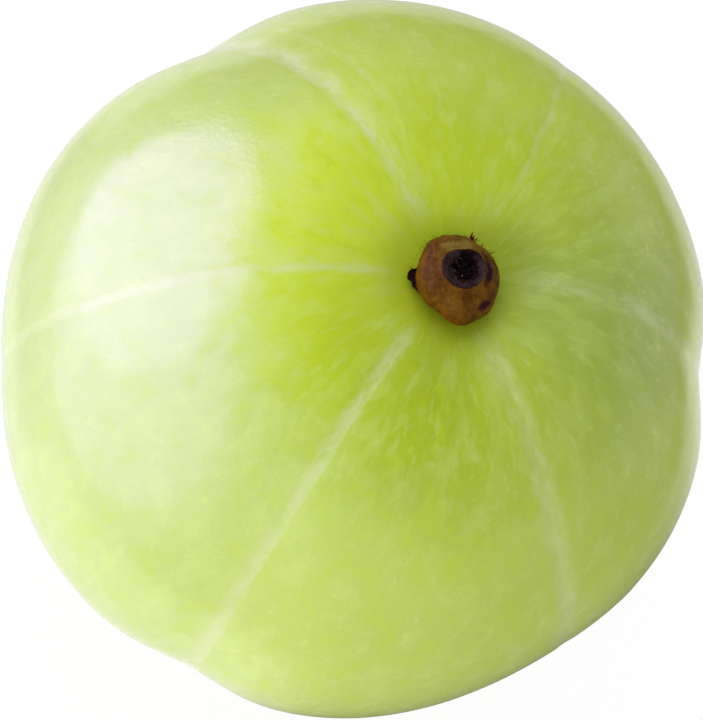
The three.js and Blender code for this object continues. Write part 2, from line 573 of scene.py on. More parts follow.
def nearest_line(place):
    """The nearest septum's line at each vertex, as the vectors that skin_lines reads."""
    g = place.graph
    to_shoulder = g.ease(place.polar, *LINE_TO_SHOULDER)
    spread = g.ease(place.polar, *LINE_SPREAD, LINE_THINNEST)
    ends = g.ease(place.polar, *LINE_ENDS)
    found, nearest = None, 180.0
    for septum in SEPTA:
        line = septum.line
        gap = g.math("ABSOLUTE", place.turn_from(septum))
        here = g.ease(gap, *LINE_GAP) * ends
        strength = (line.stem + to_shoulder * (line.belly - line.stem)) * here
        echo_offset, echo_strength, echo_polar, echo_spread = line.echo
        echo = g.bell(place.polar - echo_polar, echo_spread) * echo_strength * here
        marks = {
            "line": g.combine(place.offset_from(septum), strength, here * line.veil_strength),
            "line_edges": g.combine(spread * (line.width / 2), *line.blur),
            "line_veil": g.combine(*line.veil, 0.0),
            "line_echo": g.combine(echo_offset, echo, 0.0),
        }
        if found is None:
            found = marks
        else:
            closer = g.math("LESS_THAN", gap, nearest)
            found = {name: g.blend(closer, found[name], marks[name]) for name in marks}
        nearest = g.math("MINIMUM", gap, nearest)
    return found


def skin_relief(place):
    """Height of the skin's fine relief: septum grooves, pleats, dents and blossom dimple."""
    g = place.graph
    relief = (place.pattern(DENTS["size"], DENTS["size"]) - 0.5) * DENTS["depth"]
    pleats = place.pattern(PLEATS["around"], PLEATS["along"], seed=4.0) - 0.5
    relief += pleats * g.ease(place.polar, *PLEAT_ZONE) * PLEATS["depth"]
    on_sides = g.ease(place.polar, *GROOVE_ZONE)
    for septum in SEPTA:
        groove = g.bell(place.offset_from(septum), GROOVE["width"])
        relief -= groove * on_sides * GROOVE["depth"]
    dimple = g.bell(place.polar - 180.0, BLOSSOM_DIMPLE["width"])
    inset = g.ease(place.polar, *INSET_ZONE) * BELLY_INSET
    return relief - dimple * BLOSSOM_DIMPLE["depth"] - inset


def skin_lines(place):
    """Strength of the pale septum lines, their veils and echoes, from 0 to 1."""
    g = place.graph
    wander = place.pattern(1.3 * MM, 2.6 * MM, roughness=0.6, seed=7.0)
    threads = place.pattern(0.8 * MM, 2.4 * MM, detail=3.0, roughness=0.6, seed=13.0)
    broken = g.ease(threads, 0.34, 0.56, 0.58, 1.0)
    threaded = g.ease(threads, 0.42, 0.62, 0.12, 1.0)
    offset, strength, veil_strength = g.split(g.stored("line"))
    half, blur_before, blur_after = g.split(g.stored("line_edges"))
    veil_before, veil_after, _ = g.split(g.stored("line_veil"))
    echo_offset, echo_strength, _ = g.split(g.stored("line_echo"))
    offset = offset + (wander - 0.5) * LINE_WANDER
    before = g.ease(offset + half, -blur_before, blur_before * 0.4)
    after = g.ease(offset - half, blur_after, blur_after * -0.4)
    core = before * after * strength * broken
    veil = g.ease(offset, -veil_before, 0.0) * g.ease(offset, veil_after, 0.0)
    echo = g.bell(offset - echo_offset, ECHO_WIDTH) * echo_strength * threaded
    return core + veil * threaded * veil_strength + echo


def skin_fibres(place):
    """Strength of the soft pale strands that fan out from the stalk, from 0 to 1."""
    g = place.graph
    broad = place.pattern(1.5 * MM, 6.5 * MM, warp=0.3, seed=2.0)
    fine = place.pattern(0.7 * MM, 4.5 * MM, detail=1.0, warp=0.3, seed=8.0)
    fan = g.ease(place.polar, *FIBRE_ZONE) * g.ease(place.polar, *FIBRE_ENDS)
    return (g.ease(broad, 0.46, 0.66) * 0.7 + g.ease(fine, 0.56, 0.70) * 0.6) * fan


def skin_material(colours):
    """Waxy, translucent green skin with pale septum lines, fibres, blotches and flecks, and painted
    light, shade and sheen.
    """
    material, g = new_material("fruit_skin")
    place = SkinPlace(g, g.stored("place"), colours.belly_radius)
    clouds = place.pattern(7 * MM, 9 * MM, detail=1.0, seed=1.0)
    patches = place.pattern(1.6 * MM, 2.3 * MM, detail=3.0, roughness=0.62, seed=19.0)
    dots = place.pattern(0.50 * MM, 0.75 * MM, detail=1.0, warp=0.3, seed=25.0)
    cloudy, patchy = clouds - 0.5, patches - 0.5

    # Painted shade near the stalk on one side, in olive.
    olive_and_shade = place.facing(PAINTED_SHADE_SIDE) * g.ease(place.polar + cloudy * 20.0, *PAINTED_SHADE_ZONE)
    # Painted shade of the shaded side, partly greyer flesh.
    dull_and_shade = place.facing(DULL_AND_SHADE_SIDE)
    # Painted light near the stalk, on the side towards the lamps.
    painted_light = place.facing(PAINTED_LIGHT_SIDE) * g.ease(place.polar, *PAINTED_LIGHT_ZONE)
    belly = g.ease(place.polar + cloudy * 30.0, *BELLY_ZONE)
    # Painted sheen of the window, partly milky flesh.
    milk_and_sheen = place.facing(MILK_AND_SHEEN_SIDE) * g.ease(place.polar + patchy * 20.0, *MILK_AND_SHEEN_ZONE)
    blotches = g.ease(patches, 0.48, 0.34) * (0.34 - dull_and_shade * 0.26) * (1.0 - milk_and_sheen * 0.6)
    flecks = g.ease(dots, 0.60, 0.76) * g.ease(patches, 0.42, 0.60, 0.15, 1.0)
    coats = (
        # Olive: deeper flesh in the clouds, and painted shade near the stalk on one side.
        (g.ease(clouds, 0.3, 0.7) * 0.2 + olive_and_shade * 0.7, colours.olive_and_shade),
        (dull_and_shade, colours.dull_and_shade),
        (painted_light, colours.painted_light),
        (belly, colours.belly),
        # Painted sheen of the window on that side.
        (milk_and_sheen * 0.60, colours.milk_and_sheen),
        (blotches, colours.lime),
        (g.ease(patches, 0.48, 0.64) * (0.09 + belly * 0.12), colours.pale),
        (skin_fibres(place) * (0.28 - dull_and_shade * 0.08), colours.pale),
        (flecks * g.ease(place.polar, *FLECK_ZONE) * 0.26, colours.pale),
        (skin_lines(place), colours.line),
        # Painted shade round the stub's foot, partly darker flesh.
        (g.ease(place.polar, *BASIN_SHADE_ZONE) * 0.55, colours.basin),
        (g.ease(place.polar, *BLOSSOM_ZONE), colours.blossom),
    )
    spot = g.node("ShaderNodeTexCoord", {}, {}, "Object")
    pores = g.noise(spot, 0.30 * MM, roughness=0.6, seed=14.0)
    surface(
        g,
        {
            "Base Color": g.painted(colours.lime, coats),
            "Roughness": 0.16 + patchy * 0.14,
            "Normal": g.bump(pores * 0.30 + patches * 0.50, 1.0, 0.045 * MM),
            "IOR": 1.5,
            "Subsurface Weight": 0.55,
            "Subsurface Radius": (1.0, 1.0, 0.3),
            "Subsurface Scale": 1.1 * MM,
            "Coat Weight": 0.30 + patchy * 0.9,
            "Coat Roughness": 0.42,
            "Coat IOR": 1.45,
        },
    )
    return material


# -------------------------------------------------------------------------------- stalk stub


STUB_SEGMENTS = 240
STUB_RINGS = 170
STUB_OUTLINE = (
    (0.00, 2.26),
    (0.60, 2.29),
    (1.00, 2.30),
    (1.32, 2.24),
    (1.68, 2.04),
    (1.98, 1.70),
    (2.18, 1.28),
    (2.24, 0.82),
    (2.07, 0.34),
    (1.80, 0.02),
    (1.55, -0.14),
    (0.80, -0.16),
    (0.00, -0.16),
)  # radius and height in millimetres, from the middle of the top down to the foot
STUB_SECTION = (
    (28, 1.00),
    (105, 0.87),
    (160, 0.94),
    (206, 0.88),
    (245, 0.92),
    (278, 0.93),
    (322, 1.16),
    (337, 1.11),
    (352, 1.13),
)  # bearing, and reach as a share of the outline's radius, at each corner and hollow
CORNER_RADIUS = 1.5  # millimetres from the axis at which the section's corners are in full
TOP_ZONE = (1.5, 2.0)  # heights in millimetres between which the side turns into the top
TOP_INSET = 0.08  # millimetres, keeps the lip under the stub's full height


class Ring(NamedTuple):
    """A band round the scar's middle that changes towards one side."""

    share: float  # where it runs, as a share of the scar's radius
    width: float
    side: Side
    away: float  # strength, or rise in millimetres, away from that side
    full: float  # the same at that side


class Oval(NamedTuple):
    """An oval bump or pit, in millimetres from the scar's middle."""

    across: float
    up: float
    half_width: float
    half_height: float
    rise: float


class Lump(NamedTuple):
    """One size of lump in a rough surface, in millimetres."""

    rise: float
    size: float
    stretch: float  # how much of the height counts, 0 where the lumps run straight down
    seed: float


SCAR_MIDDLE = (0.05, 0.05)  # millimetres from the stalk's axis
SCAR_RADIUS = 1.12
SCAR_EDGE = (1.04, 0.94)  # shares of the radius over which the scar begins
SCAR_DISH = 0.17
SCAR_RAGGED = 0.05  # how far its edge strays
SHELF_BEARING = 140  # of the clean wood beside the scar
SHELF = {"side": Side(SHELF_BEARING, 36), "start": (1.02, 1.10), "end": (1.68, 1.54), "depth": 0.10}
NOTCH = {"side": Side(SHELF_BEARING, 34), "depth": 0.20}  # where the shelf cuts into the scar
HOLLOW = {"middle": (0.12, 0.30), "radius": 0.72, "depth": 0.24, "edge": 0.05}  # the torn part
HOLLOW_RAGGED = 0.42  # how far its edge strays, as a share of its radius
HOLLOW_EDGE = (1.0, 0.72)  # shares of its radius over which it begins
WALL_SIDE = Side(235, 80)  # where the scar's wall is broad and smooth
WALL_AWAY = 0.35  # how much of the wall shows away from that side
WALL_FOOT = (0.98, 1.12)  # shares of the torn part's radius over which it begins
WALL_RIM = (1.02, 0.92)  # shares of the scar's radius over which it begins
WALL_STREAKS = 0.9
LIP = Ring(1.00, 0.085, Side(SHELF_BEARING, 40), 0.09, 0.045)
MOAT = Ring(1.20, 0.11, Side(25, 45), -0.0175, -0.05)
SHELF_STEP = Ring(1.60, 0.07, SHELF["side"], 0.0, 0.05)
# Highlight painted along the scar's rim on the window side, in the wall's colour.
PAINTED_RIM_HIGHLIGHT = Ring(1.00, 0.05, Side(205, 40), 0.0, 1.0)
SPECKLES = Ring(0.88, 0.15, Side(40, 50), 0.0, 0.8)
STAIN = Ring(1.22, 0.20, Side(36, 30), 0.0, 1.0)
LOW_STAIN = {"side": Side(346, 12), "distance": 2.10, "width": 0.20, "depth": 0.05}
LOW_STAIN_FOOT = (0.9, 1.3)  # heights over which it fades in
BARK_EDGE = (0.9, 1.2)  # shares of the scar's radius over which the bark's lumps set in
SMOOTHED_IN_SCAR = 0.85  # share of the bark's lumps that the scar takes away
SPLINTER = Oval(0.36, 0.04, 0.17, 0.07, 0.14)
PITS = (Oval(0.19, 0.58, 0.17, 0.20, -0.24), Oval(0.52, -0.24, 0.24, 0.10, -0.14))
KNOB = Oval(1.60, 0.08, 0.17, 0.17, 0.10)
TORN_WOOD = (Lump(0.15, 0.20, 0.0, 8.0), Lump(0.09, 0.085, 0.0, 4.0))
BARK_LUMPS = (
    Lump(0.060, 0.95, 1.0, 1.0),
    Lump(0.030, 0.34, 0.7, 5.0),
    Lump(0.012, 0.11, 1.0, 6.0),
)


def roughness(x, y, height, lumps):
    """How far lumps of several sizes lift a point."""
    return sum(
        lump.rise * wrinkle((x, y, height * lump.stretch), lump.size, lump.seed) for lump in lumps
    )


def section_reach(bearing):
    """How far the stub's section reaches at a bearing, eased from corner to hollow."""
    after = next((i for i, (at, _) in enumerate(STUB_SECTION) if at > bearing), 0)
    (start, low), (end, high) = STUB_SECTION[after - 1], STUB_SECTION[after]
    share = ((bearing - start) % 360) / ((end - start) % 360)
    return low + (high - low) * smooth_step(share, 0, 1)


class StubPoint(NamedTuple):
    """A point of the stub in millimetres from its foot, and its share of each mark."""

    place: tuple
    scar: float
    wall: float
    shelf: float
    stain: float


STUB_MARKS = StubPoint._fields[1:]


class ScarPlace:
    """Where a point of the stub lies from the scar, in millimetres, degrees and shares."""

    def __init__(self, x, y):
        self.across, self.up = x - SCAR_MIDDLE[0], y - SCAR_MIDDLE[1]
        self.distance = math.hypot(self.across, self.up)
        self.around = math.degrees(math.atan2(self.up, self.across)) % 360
        ragged = SCAR_RAGGED * wrinkle((self.across, self.up, 0), 0.35, 3.0)
        dented = NOTCH["depth"] * self.facing(NOTCH["side"])
        self.share = self.distance / (SCAR_RADIUS - dented + ragged)
        from_hollow = math.hypot(x - HOLLOW["middle"][0], y - HOLLOW["middle"][1])
        torn = HOLLOW_RAGGED * wrinkle((x, y, 3.0), 0.42, 2.0)
        self.hollow_share = from_hollow / HOLLOW["radius"] + torn
        self.hollow = smooth_step(self.hollow_share, *HOLLOW_EDGE)

    def facing(self, side):
        """1 in the middle of a side, falling away over its spread."""
        return bump_of(bearing_gap(self.around, side.bearing), side.spread)

    def on(self, ring):
        """How strong or how high a ring is here."""
        strength = ring.away + (ring.full - ring.away) * self.facing(ring.side)
        return strength * bump_of(self.share - ring.share, ring.width)

    def rise(self, oval):
        """How far an oval lifts or lowers this point."""
        away = math.hypot(
            (self.across - oval.across) / oval.half_width, (self.up - oval.up) / oval.half_height
        )
        return oval.rise * bump_of(away, 1.0)


def scar_height(scar, shelf, torn):
    """How far the top stands above or below its outline, in millimetres."""
    height = sum(scar.on(ring) for ring in (LIP, MOAT, SHELF_STEP))
    height += sum(scar.rise(oval) for oval in (SPLINTER, *PITS))
    height -= SCAR_DISH * smooth_step(scar.share, 1.0, 0.30) + SHELF["depth"] * shelf
    height += HOLLOW["edge"] * bump_of(scar.hollow_share - 1.06, 0.10)
    return height + scar.hollow * (torn - HOLLOW["depth"]) - TOP_INSET


def wall_and_highlight_share(scar):
    """How much of the scar's smooth violet wall shows here, with a highlight painted along its rim."""
    smooth = smooth_step(scar.hollow_share, *WALL_FOOT) * smooth_step(scar.share, *WALL_RIM)
    smooth *= WALL_AWAY + (1 - WALL_AWAY) * scar.facing(WALL_SIDE)
    around = math.cos(math.radians(scar.around))
    streaks = 0.70 + WALL_STREAKS * wrinkle((scar.share * 6, around, 9.0), 1.0, 4.0)
    # The rim band is the painted highlight.
    return smooth * streaks + scar.on(SPECKLES) + scar.on(PAINTED_RIM_HIGHLIGHT) + 0.35 * scar.hollow


def stub_point(radius, height, bearing):
    """Shapes the stub's blunt corners, its torn scar and its wrinkled bark."""
    turn = math.radians(bearing)
    reach = 1 + (section_reach(bearing) - 1) * min(radius / CORNER_RADIUS, 1)
    x, y = radius * reach * math.cos(turn), radius * reach * math.sin(turn)
    scar = ScarPlace(x, y)
    on_top = smooth_step(height, *TOP_ZONE)
    inside = smooth_step(scar.share, *SCAR_EDGE)
    shelf = smooth_step(scar.share, *SHELF["start"]) * smooth_step(scar.share, *SHELF["end"])
    shelf *= scar.facing(SHELF["side"])
    z = height + on_top * scar_height(scar, shelf, roughness(x, y, height, TORN_WOOD))

    low_stain = scar.facing(LOW_STAIN["side"])
    low_stain *= bump_of(scar.distance - LOW_STAIN["distance"], LOW_STAIN["width"])
    stain = on_top * scar.on(STAIN) + low_stain * smooth_step(height, *LOW_STAIN_FOOT)
    outwards = roughness(x, y, height, BARK_LUMPS) * (1 - SMOOTHED_IN_SCAR * inside)
    outwards += scar.rise(KNOB) - LOW_STAIN["depth"] * low_stain
    sideways = outwards * (1 - on_top)
    x += sideways * math.cos(turn)
    y += sideways * math.sin(turn)
    z += outwards * on_top * smooth_step(scar.share, *BARK_EDGE)

    # The wall mark also carries the painted rim highlight.
    wall = on_top * inside * wall_and_highlight_share(scar)
    return StubPoint((x, y, z), on_top * inside, min(wall, 1.0), on_top * shelf, min(stain, 1.0))


def build_stub(material):
    outline = spline(STUB_OUTLINE, STUB_RINGS)
    foot = Vector((STALK_OFFSET.x, STALK_OFFSET.y, STUB_FOOT))
    bearings = [360 * i / STUB_SEGMENTS for i in range(STUB_SEGMENTS)]
    places = [(*outline[0], 0.0)]
    places += [(*point, bearing) for point in outline[1:-1] for bearing in bearings]
    places.append((*outline[-1], 0.0))
    points = [stub_point(*place) for place in places]
    vertices = [foot + Vector(point.place) * MM for point in points]
    piece = mesh_object("stub", vertices, lathe_faces(STUB_RINGS - 2, STUB_SEGMENTS), material)
    for mark in STUB_MARKS:
        attribute = piece.data.attributes.new(mark, "FLOAT", "POINT")
        attribute.data.foreach_set("value", [getattr(point, mark) for point in points])
    return piece


def bark_material(colours):
    """Brown bark in uneven patches, a torn violet-black scar, a shelf of clean wood, painted glints
    and a painted highlight on the scar's rim.
    """
    material, g = new_material("stalk_bark")
    place = g.node("ShaderNodeTexCoord", {}, {}, "Object")
    scar, wall, shelf, stain = (g.stored(mark, "Fac") for mark in STUB_MARKS)
    patches = g.noise(place, 0.75 * MM, detail=3.0, warp=0.4)
    broad = g.noise(place, 1.5 * MM, warp=0.5, seed=15.0)
    mottle = g.noise(place, 0.22 * MM, detail=3.0, roughness=0.6, seed=3.0)
    reds = g.noise(place, 0.50 * MM, detail=3.0, seed=6.0)
    specks = g.noise(place, 0.10 * MM, detail=1.0, seed=9.0)
    smears = (g.noise(place, 0.34 * MM, warp=0.8, seed=12.0) - 0.5) * 1.6
    uneven = (mottle - 0.5) * 0.7
    torn = g.ease(scar + uneven * 0.3, 0.35, 0.6)
    # Painted glints: pale spots in place of light caught by the bark and the scar.
    glints = g.ease(specks, 0.70, 0.77) * g.ease(reds, 0.42, 0.60) * (0.20 + torn * 0.60)
    coats = (
        (g.ease(patches, 0.38, 0.62), colours.tan),
        (g.ease(broad, 0.50, 0.66) * 0.60, colours.dark_bark),
        (g.ease(mottle, 0.50, 0.68) * 0.35, colours.dark_bark),
        (g.ease(mottle, 0.46, 0.34) * 0.40, colours.tan),
        (g.ease(reds, 0.56, 0.72) * 0.75, colours.red_bark),
        (g.ease(shelf + uneven * 0.4, 0.25, 0.6), colours.shelf),
        (g.ease(stain + uneven, 0.20, 0.75), colours.stain),
        (torn, colours.scar),
        # The wall's colour also paints the highlight along the scar's rim.
        (g.ease(wall + smears, 0.15, 0.95), colours.wall),
        (glints, colours.painted_glint),
    )
    surface(
        g,
        {
            "Base Color": g.painted(colours.bark, coats),
            "Roughness": 0.46 - torn * 0.14 + (mottle - 0.5) * 0.5,
            "Normal": g.bump(mottle + specks * 0.35, 0.8, 0.035 * MM),
            "Specular IOR Level": 0.09,
            "Subsurface Weight": 0.1,
            "Subsurface Radius": (1.0, 0.5, 0.25),
            "Subsurface Scale": 0.3 * MM,
        },
    )
    return material


# ------------------------------------------------------------------------------------- calyx


class Spike(NamedTuple):
    """One dry thread of the calyx. Lengths are millimetres, angles degrees."""

    bearing: float
    start: float  # distance from the stalk's axis
    length: float
    rise: float  # angle above level
    veer: float  # angle between its heading and its bearing
    bend: float  # how far it turns on its way
    thickness: float


class CalyxTip(NamedTuple):
    """One dry tip of the calyx: a thin ragged flap that comes out from under the stub."""

    node: str
    start: float  # bearings of its two ends
    end: float
    peak: float  # where along it, from 0 to 1, it reaches out furthest
    reach: float  # millimetres, out from the stub's foot
    lift: float  # how far its edge stands above the skin
    teeth: int
    spikes: tuple


CALYX_TIPS = (
    CalyxTip(
        "calyx_tip_1", 70, 92, 0.5, 0.60, 0.30, 3,
        (
            Spike(88, 2.00, 0.62, 40, 8, 25, 0.110),
            Spike(84, 2.15, 0.52, 30, -30, -20, 0.055),
            Spike(80, 2.15, 0.50, 12, -28, 15, 0.060),
            Spike(75, 2.15, 0.62, 15, 12, -30, 0.060),
            Spike(73, 2.20, 0.46, 34, -35, 20, 0.045),
        ),
    ),
    CalyxTip(
        "calyx_tip_2", 97, 113, 0.5, 0.82, 0.62, 3,
        (
            Spike(106, 1.95, 0.86, 42, 4, 18, 0.200),
            Spike(106, 2.26, 0.42, 60, 52, -40, 0.120),
            Spike(104, 2.30, 0.40, 30, -58, 35, 0.120),
            Spike(108, 2.16, 0.46, 34, 48, 30, 0.090),
            Spike(103, 2.20, 0.50, 20, -40, -20, 0.055),
        ),
    ),
    CalyxTip(
        "calyx_tip_3", 142, 178, 0.5, 0.25, 0.10, 6,
        (
            Spike(150, 2.10, 0.34, 30, 20, 30, 0.026),
            Spike(158, 2.10, 0.46, 26, -22, -25, 0.028),
            Spike(162, 2.10, 0.30, 40, 35, 20, 0.022),
            Spike(168, 2.05, 0.42, 18, 10, -30, 0.024),
            Spike(174, 2.00, 0.36, 28, -30, 25, 0.022),
        ),
    ),
    CalyxTip(
        "calyx_tip_4", 200, 256, 0.32, 0.74, 0.16, 5,
        (
            Spike(211, 1.90, 0.42, 16, -20, 30, 0.060),
            Spike(217, 1.95, 0.34, 34, 25, -30, 0.040),
            Spike(223, 2.05, 0.40, 10, -14, 20, 0.050),
            Spike(229, 1.95, 0.36, 22, 22, -20, 0.045),
            Spike(238, 1.85, 0.30, 12, -10, 30, 0.040),
        ),
    ),
)
FLAP_ROOT = 1.60  # millimetres from the stalk's axis, under the stub
FLAP_EXIT = 1.88  # where a flap comes out from under a round stub
FLAP_SLOPE = 0.10
FLAP_CURL = 0.06
FLAP_BOW = 0.9  # under 1 gives the edge broad shoulders
FLAP_TEETH = 0.08  # depth of the teeth, as a share of the reach
FLAP_RAGGED = 0.16  # how uneven they are, as a share of the reach
FLAP_THICKNESS = 0.07
FLAP_SINK = 0.02
FLAP_ROWS = 10
TOOTH_COLUMNS = 12
SPIKE_FOOT = 0.10  # millimetres above the skin
SPIKE_RINGS = 6
SPIKE_SIDES = 6
SPIKE_TAPER = 0.75
SPIKE_UNEVEN = 0.35
REDDISH_ZONE = (-1.3 * MM, -0.6 * MM)  # across the stalk's axis
REDDISH_LEAST = 0.08
FRINGE = {
    "bristles": 90,
    "sides": 5,
    "segments": 3,
    "radius": 2.05 * MM,
    "level": STUB_FOOT + 0.22 * MM,
    "jitter": 0.06 * MM,
    "length": 0.40 * MM,
    "root": 0.020 * MM,
    "end": 0.006 * MM,
    "lean": (0.6, 1.35),  # radians from upright
    "twist": 0.7,
    "smallest": 0.15,
    "seed": 4,
}
FRINGE_SIDE = Side(150, 75)


def beside_stalk(bearing, radius, height):
    """A point at a bearing and a distance from the stalk's axis, in millimetres."""
    turn = math.radians(bearing)
    return Vector((radius * math.cos(turn), radius * math.sin(turn), height))


def flap_point(tip, floor, along, out):
    """A point in the middle of a flap, from its first end to its last and from root to edge."""
    bearing = tip.start + (tip.end - tip.start) * along
    bow = min(along / tip.peak, (1 - along) / (1 - tip.peak))
    tooth = math.cos(2 * math.pi * tip.teeth * along + tip.start)
    ragged = 1 - FLAP_TEETH + FLAP_TEETH * tooth
    ragged += FLAP_RAGGED * wrinkle((along * tip.teeth * 0.8, tip.start, 0), 1.0, 2.0)
    reach = FLAP_EXIT * section_reach(bearing) - FLAP_ROOT
    reach += tip.reach * bow**FLAP_BOW * ragged
    curl = FLAP_CURL * wrinkle((along * tip.teeth, out * 2, 0), 1.0, 1.0)
    height = floor + FLAP_SLOPE * out + tip.lift * bow * out**2 + curl
    return beside_stalk(bearing, FLAP_ROOT + reach * out, height)


def spike_mesh(spike, floor):
    """Vertices and faces of a closed thread that thins towards its end as it bends."""
    middle = beside_stalk(spike.bearing, spike.start, floor)
    vertices = [middle.copy()]
    for ring in range(SPIKE_RINGS):
        share = ring / SPIKE_RINGS
        heading = spike.bearing + spike.veer + spike.bend * share
        ahead, aside, over = heading_vectors(heading, spike.rise)
        uneven = 1 + SPIKE_UNEVEN * wrinkle((spike.bearing, share * 4, 0), 1.0, 5.0)
        radius = spike.thickness / 2 * (1 - SPIKE_TAPER * share) * uneven
        for i in range(SPIKE_SIDES):
            angle = 2 * math.pi * i / SPIKE_SIDES
            vertices.append(middle + (aside * math.cos(angle) + over * math.sin(angle)) * radius)
        middle = middle + ahead * (spike.length / SPIKE_RINGS)
    vertices.append(middle)
    return vertices, [face[::-1] for face in lathe_faces(SPIKE_RINGS, SPIKE_SIDES)]


def build_calyx_tip(tip, material):
    foot = Vector((STALK_OFFSET.x, STALK_OFFSET.y, 0))
    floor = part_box(tip.node)[0].z / MM

    def place(along, out):
        return flap_point(tip, floor - FLAP_SINK, along, out)

    shells = [closed_sheet(TOOTH_COLUMNS * tip.teeth, FLAP_ROWS, place, FLAP_THICKNESS)]
    shells += [spike_mesh(spike, floor + SPIKE_FOOT) for spike in tip.spikes]
    vertices, faces = [], []
    for shell_vertices, shell_faces in shells:
        first = len(vertices)
        vertices += [foot + vertex * MM for vertex in shell_vertices]
        faces += [[first + i for i in face] for face in shell_faces]
    return mesh_object(tip.node.replace("calyx_tip", "dry_calyx"), vertices, faces, material)


def fringe_shape(g, sizes):
    """Fine dry bristles round the stub's foot: thin cones on a ring, leaning outwards."""
    def chance(low, high, stream):
        """A random number for each bristle. Each stream gives other numbers."""
        inputs = {"Min_001": low, "Max_001": high, "Seed": sizes["Seed"] + stream * 17}
        return g.node("FunctionNodeRandomValue", {"data_type": "FLOAT"}, inputs, "Value_001")

    ring_inputs = {"Vertices": sizes["Bristles"], "Radius": sizes["Ring Radius"]}
    ring = g.node("GeometryNodeMeshCircle", {}, ring_inputs)
    x, y, _ = g.split(g.node("GeometryNodeInputPosition", {}, {}))
    jitter = chance(-FRINGE["jitter"], FRINGE["jitter"], 1)
    spot = g.combine(x + STALK_OFFSET.x + jitter, y + STALK_OFFSET.y - jitter, FRINGE["level"])
    points = g.node("GeometryNodeSetPosition", {}, {"Geometry": ring, "Position": spot})
    cone_inputs = {"Vertices": FRINGE["sides"], "Side Segments": FRINGE["segments"]}
    cone_inputs |= {"Radius Bottom": FRINGE["root"], "Radius Top": FRINGE["end"]}
    cone_inputs |= {"Depth": sizes["Bristle Length"]}
    cone = g.node("GeometryNodeMeshCone", {}, cone_inputs)
    x, y, _ = g.split(g.node("GeometryNodeInputPosition", {}, {}))
    outward = g.math("ARCTAN2", y - STALK_OFFSET.y, x - STALK_OFFSET.x)
    outward = outward + chance(-FRINGE["twist"], FRINGE["twist"], 3)
    rotation = g.combine(0.0, chance(*FRINGE["lean"], 2), outward)
    turned = g.turn(outward * DEGREES, FRINGE_SIDE.bearing)
    size = chance(FRINGE["smallest"], 1.0, 4) * g.bell(turned, FRINGE_SIDE.spread)
    instance_inputs = {"Points": points, "Instance": cone, "Rotation": rotation, "Scale": size}
    return g.node("GeometryNodeInstanceOnPoints", {}, instance_inputs)


def calyx_material(colours):
    """Dull, dry, nearly black calyx, reddish brown on the side away from the black flap."""
    material, g = new_material("dried_calyx")
    place = g.node("ShaderNodeTexCoord", {}, {}, "Object")
    streaks = g.noise(place, 0.12 * MM, detail=3.0)
    x, _, _ = g.split(place)
    warm = g.ease(x, *(STALK_OFFSET.x + across for across in REDDISH_ZONE), REDDISH_LEAST)
    reddish = g.ease(streaks, 0.32, 0.48) * warm
    colour = g.mix(reddish, rgba(colours.dry), rgba(colours.dry_edge))
    sockets = {"Base Color": colour, "Roughness": 0.7 + (streaks - 0.5) * 0.3}
    surface(g, sockets | {"Specular IOR Level": 0.2})
    return material


# ------------------------------------------------------------------------------------- stage


class Softbox(NamedTuple):
    """A lamp at a bearing, an elevation and a distance from the fruit's middle, and its size."""

    name: str
    bearing: float
    elevation: float
    distance: float
    width: float
    height: float
    aside: float = 0.0  # shift in its own plane, towards larger bearings
    rise: float = 0.0  # shift in its own plane, upwards
    round: bool = False


SOFTBOXES = {
    "key_light": Softbox("key_softbox", 152, 44, 0.45, 0.46, 0.46),
    "side_light": Softbox("side_softbox", 253, 11, 0.45, 0.50, 0.30),
    "fill_light": Softbox("fill_softbox", 8, 18, 0.45, 0.50, 0.30),
}
# What the gloss shows: an oval window that is brighter at one end, and a faint board across from
# it. Each has its share of the window's light.
GLOSS_PANES = (
    (Softbox("window_wide", 205, 17, 0.047, 0.140, 0.090, 0.026, 0.000, round=True), 0.07),
    (Softbox("window", 205, 17, 0.045, 0.096, 0.060, 0.015, 0.003, round=True), 0.26),
    (Softbox("window_middle", 205, 17, 0.044, 0.050, 0.052, -0.009, 0.007, round=True), 0.40),
    (Softbox("far_board", 52, 8, 0.090, 0.110, 0.080), 0.05),
)


class DarkInGloss(NamedTuple):
    """Part of the floor that the gloss shows darker: bearings, where it starts and how dark."""

    bearing: float
    inner: float  # degrees to each side at which it is in full
    outer: float  # degrees to each side at which it ends
    start: float  # distance from the fruit's middle
    depth: float


DARK_IN_GLOSS = (
    # The first patch is the fruit's shadow, painted onto the floor for the gloss.
    DarkInGloss(348, 28, 60, 0 * MM, 0.84),
    DarkInGloss(100, 10, 60, 0 * MM, 0.34),
    DarkInGloss(200, 18, 40, 29 * MM, 0.75),
)
DARK_IN_GLOSS_BLUR = 3 * MM
MIRRORED_ZONE = (64 * MM, 46 * MM)  # distances at which the floor's white is weak and in full
MIRRORED_LEAST = 0.1
CEILING_ZONE = (0.50, 0.90)  # where the light passes from the room's to the ceiling's
ROOM_DIMMED = 0.55  # how much of the room's light the gloss leaves out


def place_softbox(box, radiance, colour, target, gloss_only):
    """Adds a lamp that looks this bright in a mirror."""
    lamp = bpy.data.lights.new(box.name, "AREA")
    lamp.shape = "ELLIPSE" if box.round else "RECTANGLE"
    lamp.size, lamp.size_y = box.width, box.height
    fullness = math.pi / 4 if box.round else 1
    lamp.energy = radiance * math.pi * box.width * box.height * fullness
    lamp.color = colour
    away, aside, up = heading_vectors(box.bearing, box.elevation)
    centre = target + away * box.distance + aside * box.aside + up * box.rise
    turned = Matrix((aside, up, away)).transposed().to_4x4()
    placed = link_object(box.name, lamp)
    placed.matrix_world = Matrix.Translation(centre) @ turned
    placed.visible_camera = False
    placed.visible_diffuse = not gloss_only
    placed.visible_glossy = gloss_only


